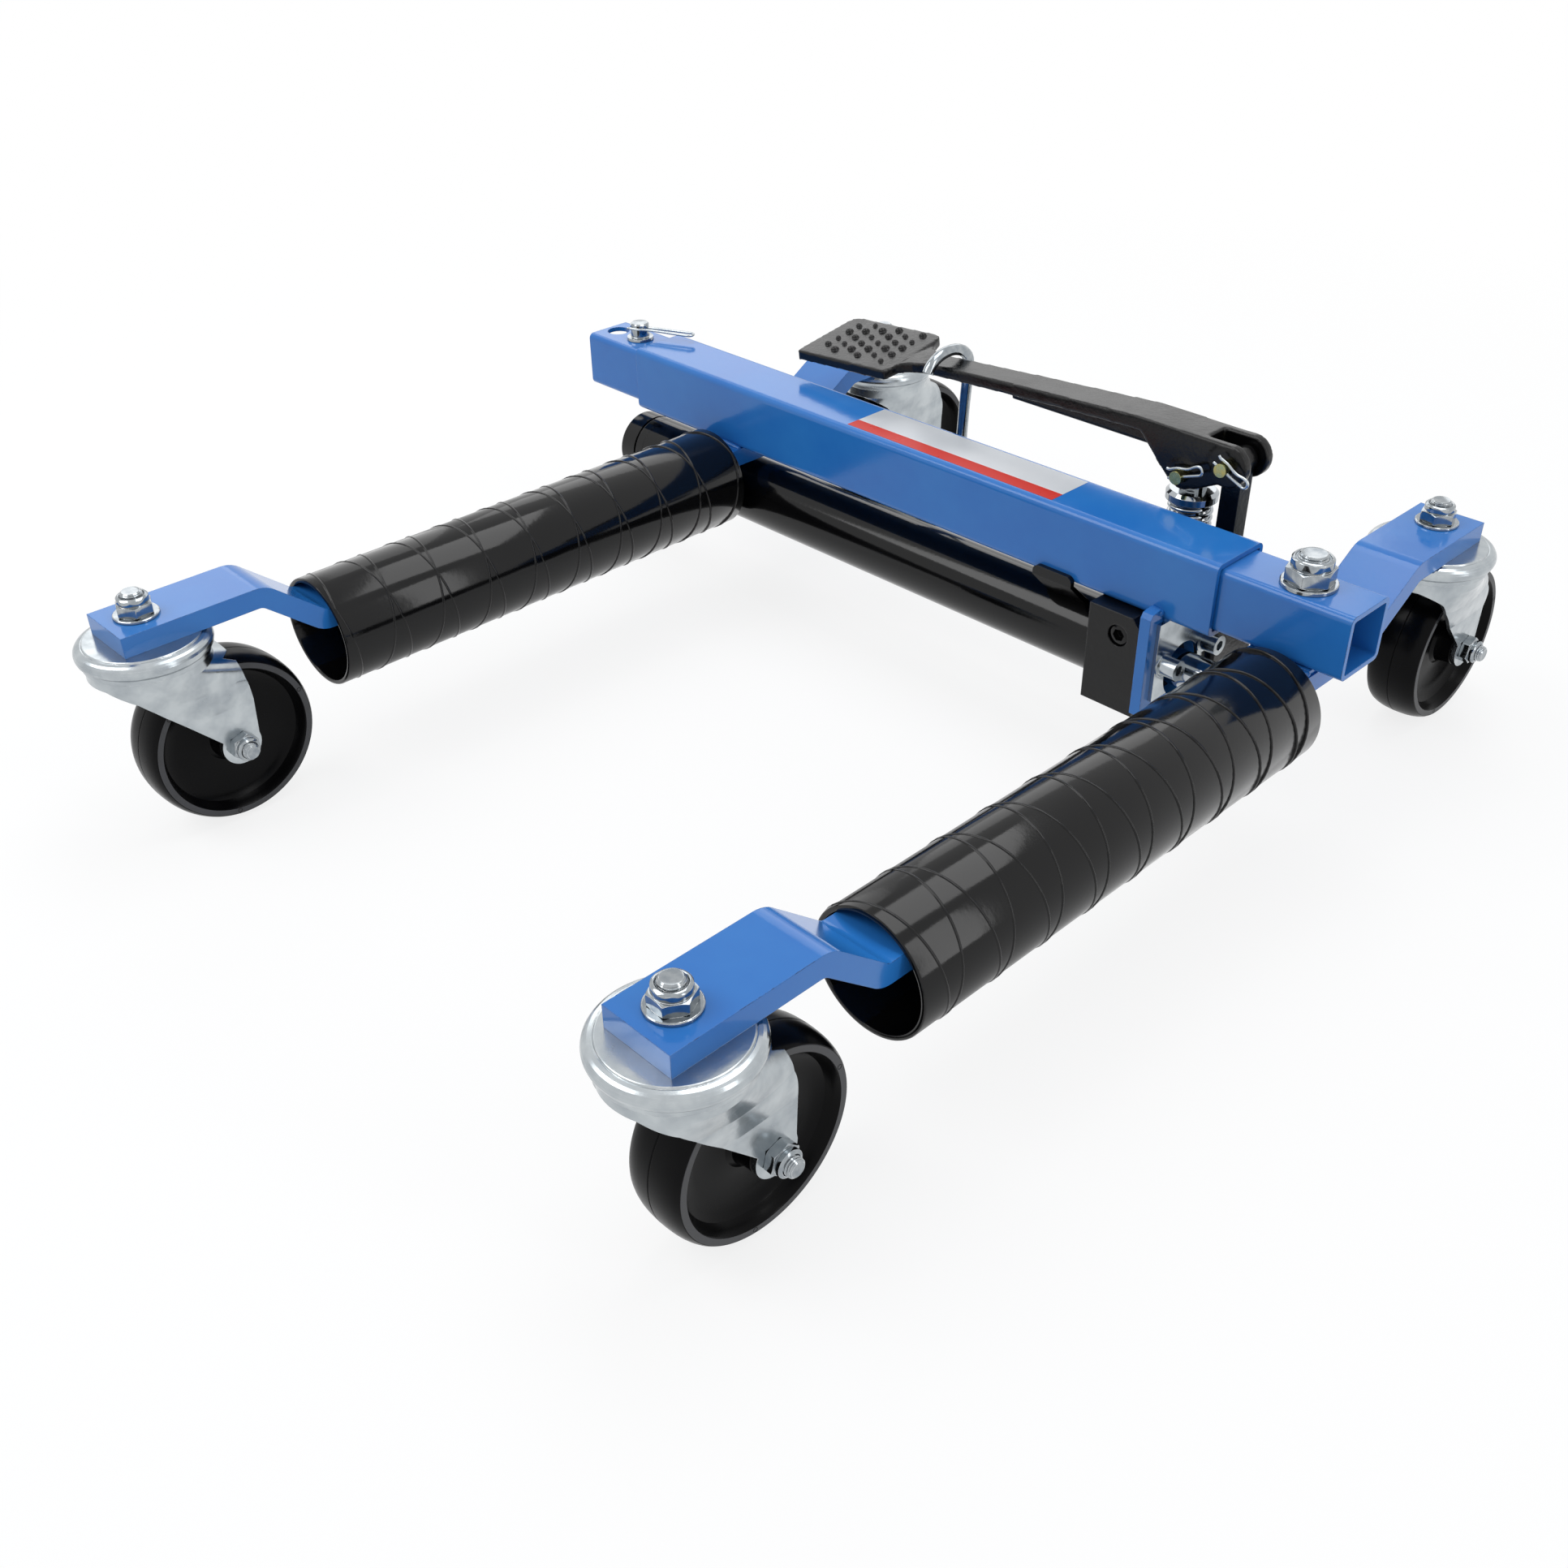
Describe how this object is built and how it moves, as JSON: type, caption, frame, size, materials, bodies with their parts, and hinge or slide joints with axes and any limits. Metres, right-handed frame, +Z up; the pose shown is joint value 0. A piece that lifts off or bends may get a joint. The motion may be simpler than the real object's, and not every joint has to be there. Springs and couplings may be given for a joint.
{
  "type": "vehicle positioning jack",
  "caption": "Wheeled car-moving jack: cross tubes, side bars with tyre rollers, foot-pumped ram and swivel casters.",
  "frame": {"origin": "on the floor, at the middle of the footprint", "axes": "+X along the cross tube towards the sliding side, +Y to the foot pump at the back, +Z up"},
  "size_m": [0.624, 0.713, 0.202],
  "materials": {
    "black_casting": "satin",
    "black_nylon": "satin",
    "blue_paint": "gloss",
    "bright_chrome": "polished",
    "gloss_black": "gloss",
    "yellow_zinc": "satin",
    "zinc_plate": "satin"
  },
  "bodies": {
    "frame": {"block_plug": "black_casting", "caster_cap_front_left": "zinc_plate", "caster_cap_rear_left": "zinc_plate", "cylinder_end_cap": "gloss_black", "cylinder_stay": "gloss_black", "hook_lug": "blue_paint", "king_bolt_front_left": "zinc_plate", "king_bolt_rear_left": "zinc_plate", "king_nut_front_left": "zinc_plate", "king_nut_rear_left": "zinc_plate", "left_side_bar": "blue_paint", "link_bar": "black_casting", "outer_tube": "blue_paint", "plate_screw_back": "zinc_plate", "plate_screw_front": "zinc_plate", "plunger_housing": "black_casting", "pump_block": "black_casting", "ram_bracket": "blue_paint", "ram_cylinder": "gloss_black", "rod_plate": "zinc_plate"},
    "slider": {"bar_spacer": "blue_paint", "bolt_sleeve": "zinc_plate", "caster_cap_front_right": "zinc_plate", "caster_cap_rear_right": "zinc_plate", "cross_bolt": "zinc_plate", "cross_nut": "zinc_plate", "inner_tube": "blue_paint", "king_bolt_front_right": "zinc_plate", "king_bolt_rear_right": "zinc_plate", "king_nut_front_right": "zinc_plate", "king_nut_rear_right": "zinc_plate", "lock_pin": "zinc_plate", "lock_pin_clip": "zinc_plate", "piston_rod": "bright_chrome", "right_side_bar": "blue_paint"},
    "roller_left": {"left_roller": "gloss_black"},
    "roller_right": {"right_roller": "gloss_black"},
    "lever": {"pivot_clip": "zinc_plate", "pivot_pin": "yellow_zinc", "plunger_clip": "zinc_plate", "plunger_pin": "yellow_zinc", "pump_lever": "black_casting"},
    "plunger": {"plunger": "bright_chrome", "return_spring": "bright_chrome", "spring_cap": "bright_chrome"},
    "hook": {"pedal_hook": "bright_chrome"},
    "fork_front_left": {"caster_axle_front_left": "zinc_plate", "caster_fork_front_left": "zinc_plate"},
    "wheel_front_left": {"caster_wheel_front_left": "black_nylon"},
    "fork_front_right": {"caster_axle_front_right": "zinc_plate", "caster_fork_front_right": "zinc_plate"},
    "wheel_front_right": {"caster_wheel_front_right": "black_nylon"},
    "fork_rear_left": {"caster_axle_rear_left": "zinc_plate", "caster_fork_rear_left": "zinc_plate"},
    "wheel_rear_left": {"caster_wheel_rear_left": "black_nylon"},
    "fork_rear_right": {"caster_axle_rear_right": "zinc_plate", "caster_fork_rear_right": "zinc_plate"},
    "wheel_rear_right": {"caster_wheel_rear_right": "black_nylon"}
  },
  "joints": [
    {"name": "tube_slide", "type": "slide", "parent": "frame", "child": "slider", "axis": [1, 0, 0], "range_m": [-0.022, 0.009]},
    {"name": "left_roller_spin", "type": "hinge", "parent": "frame", "child": "roller_left", "pos_m": [-0.167, -0.06, 0.08882], "axis": [0, 1, 0], "continuous": true},
    {"name": "right_roller_spin", "type": "hinge", "parent": "slider", "child": "roller_right", "pos_m": [0.275, -0.0525, 0.08882], "axis": [0, 1, 0], "continuous": true},
    {"name": "pedal_press", "type": "hinge", "parent": "frame", "child": "lever", "pos_m": [0.194, 0.181, 0.183], "axis": [0, 1, 0], "range_deg": [-11, 0], "stiffness_Nm_per_rad": 6, "springref_deg": 20.05},
    {"name": "plunger_stroke", "type": "slide", "parent": "frame", "child": "plunger", "axis": [0, 0, 1], "range_m": [-0.0051, 0], "deforming": ["return_spring"]},
    {"name": "hook_swing", "type": "hinge", "parent": "frame", "child": "hook", "pos_m": [-0.024, 0.196, 0.114], "axis": [1, 0, 0], "range_deg": [-60, 0]},
    {"name": "swivel_front_left", "type": "hinge", "parent": "frame", "child": "fork_front_left", "pos_m": [-0.167, -0.3195, 0.115], "axis": [0, 0, 1], "continuous": true},
    {"name": "wheel_front_left_spin", "type": "hinge", "parent": "fork_front_left", "child": "wheel_front_left", "pos_m": [-0.167, -0.2875, 0.0515], "axis": [1, 0, 0], "continuous": true},
    {"name": "swivel_front_right", "type": "hinge", "parent": "slider", "child": "fork_front_right", "pos_m": [0.275, -0.3195, 0.115], "axis": [0, 0, 1], "continuous": true},
    {"name": "wheel_front_right_spin", "type": "hinge", "parent": "fork_front_right", "child": "wheel_front_right", "pos_m": [0.275, -0.2875, 0.0515], "axis": [1, 0, 0], "continuous": true},
    {"name": "swivel_rear_left", "type": "hinge", "parent": "frame", "child": "fork_rear_left", "pos_m": [-0.167, 0.273, 0.115], "axis": [0, 0, 1], "continuous": true},
    {"name": "wheel_rear_left_spin", "type": "hinge", "parent": "fork_rear_left", "child": "wheel_rear_left", "pos_m": [-0.167, 0.305, 0.0515], "axis": [1, 0, 0], "continuous": true},
    {"name": "swivel_rear_right", "type": "hinge", "parent": "slider", "child": "fork_rear_right", "pos_m": [0.275, 0.273, 0.115], "axis": [0, 0, 1], "continuous": true},
    {"name": "wheel_rear_right_spin", "type": "hinge", "parent": "fork_rear_right", "child": "wheel_rear_right", "pos_m": [0.275, 0.305, 0.0515], "axis": [1, 0, 0], "continuous": true}
  ],
  "couplings": [
    {"joint": "plunger_stroke", "follows": "pedal_press", "m_per_rad": 0.02658}
  ]
}
